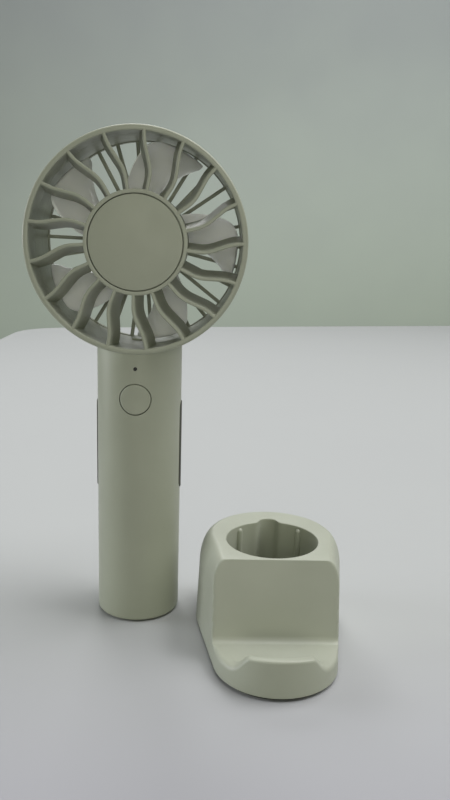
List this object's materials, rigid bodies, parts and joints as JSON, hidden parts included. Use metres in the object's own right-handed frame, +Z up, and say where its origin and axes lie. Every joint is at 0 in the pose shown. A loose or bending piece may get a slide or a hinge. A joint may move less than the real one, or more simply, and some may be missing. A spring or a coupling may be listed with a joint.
{
  "type": "handheld fan",
  "caption": "Round-headed pocket fan on a straight cylindrical handle, with a desk stand that has a handle socket and a telephone rest.",
  "frame": {"origin": "centre of the rubber foot under the handle, on the table", "axes": "+Z up along the handle, the fan's front faces -Y, and the desk stand stands on the +X side"},
  "size_m": [0.1382, 0.0971, 0.213],
  "materials": {
    "shell_plastic": "fine satin, warm grey beige",
    "grille_plastic": "fine satin, warm grey beige",
    "stand_plastic": "fine satin, warm grey beige",
    "impeller_plastic": "glossy, slightly translucent light grey",
    "black_plastic": "moulded",
    "light_pipe_plastic": "clear smoke",
    "grip_rubber": "soft matt",
    "foot_rubber": "soft matt",
    "steel": "bright",
    "core_steel": "laminated, lacquered",
    "magnet": "matt sintered",
    "copper": "enamelled wire",
    "circuit_board": "solder mask",
    "cell_wrap": "shrink sleeve"
  },
  "bodies": {
    "fan": {"front_shell": "shell_plastic", "rear_shell": "shell_plastic", "front_grille": "shell_plastic", "centre_cap": "shell_plastic", "rear_grille": "grille_plastic", "rear_hub_cap": "shell_plastic", "lead_cover": "shell_plastic", "front_bearing": "steel", "rear_bearing": "steel", "stator_core": "core_steel", "stator_windings": "copper", "motor_board": "circuit_board", "switch_body": "black_plastic", "light_pipe": "light_pipe_plastic", "status_led": "light_pipe_plastic", "control_board": "circuit_board", "board_screws": "steel", "battery_cell": "cell_wrap", "battery_cradle": "black_plastic", "battery_tabs": "steel", "charging_port": "steel", "charging_board": "circuit_board", "side_grip_right": "grip_rubber", "side_grip_left": "grip_rubber", "base_cap": "shell_plastic", "base_screws": "steel", "base_foot": "foot_rubber"},
    "rotor": {"impeller": "impeller_plastic", "rotor_yoke": "steel", "magnet_ring": "magnet", "motor_shaft": "steel", "shaft_clip": "steel"},
    "button": {"button_cap": "shell_plastic", "switch_plunger": "black_plastic"},
    "stand": {"stand_shell": "stand_plastic", "stand_base_plate": "stand_plastic", "stand_screws": "steel", "stand_foot": "foot_rubber"}
  },
  "joints": [
    {"name": "impeller_spin", "type": "hinge", "parent": "fan", "child": "rotor", "pos_m": [0, 0, 0.1675], "axis": [0, 1, 0], "continuous": true},
    {"name": "button_press", "type": "slide", "parent": "fan", "child": "button", "axis": [0, 1, 0], "range_m": [0, 0.0005], "stiffness_N_per_m": 500, "springref_m": -0.001},
    {"name": "stand_slide", "type": "slide", "parent": "fan", "child": "stand", "axis": [1, 0, 0], "range_m": [0, 0.15]}
  ]
}
